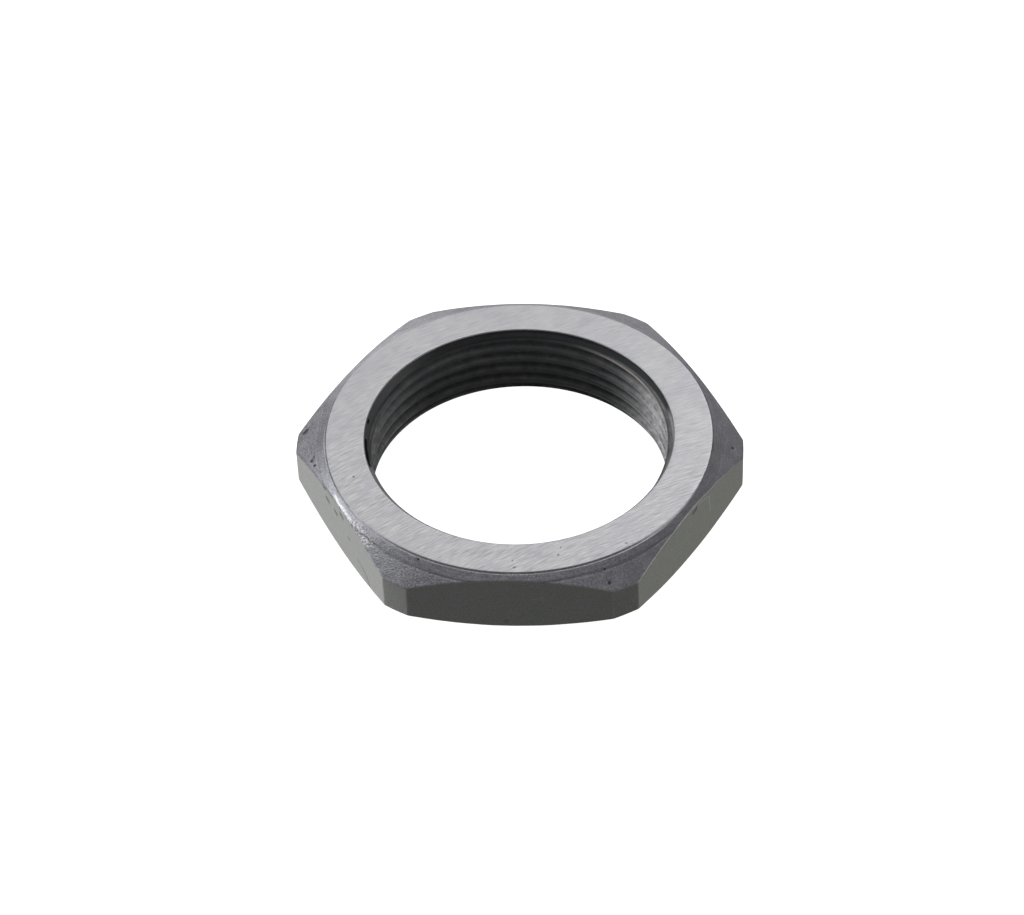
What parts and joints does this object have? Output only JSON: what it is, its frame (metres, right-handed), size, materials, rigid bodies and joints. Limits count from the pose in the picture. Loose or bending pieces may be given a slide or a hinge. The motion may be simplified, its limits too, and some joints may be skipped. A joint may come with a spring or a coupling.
{
  "type": "hex nut",
  "caption": "Thin steel hexagon nut with a wide threaded bore, a ground face, chamfered rims and turned-down corners.",
  "frame": {"origin": "middle of the lower face, on the axis of the bore", "axes": "+Z along the bore axis towards the ground top face; +X through two opposite corners of the hexagon; +Y square to two opposite wrench flats"},
  "size_m": [0.0458, 0.041, 0.008],
  "materials": {
    "steel": "bare steel: ground faces, satin wrench flats, rough chamfers and a dark oiled thread"
  },
  "bodies": {
    "root": {"hex_nut": "steel"}
  },
  "joints": []
}
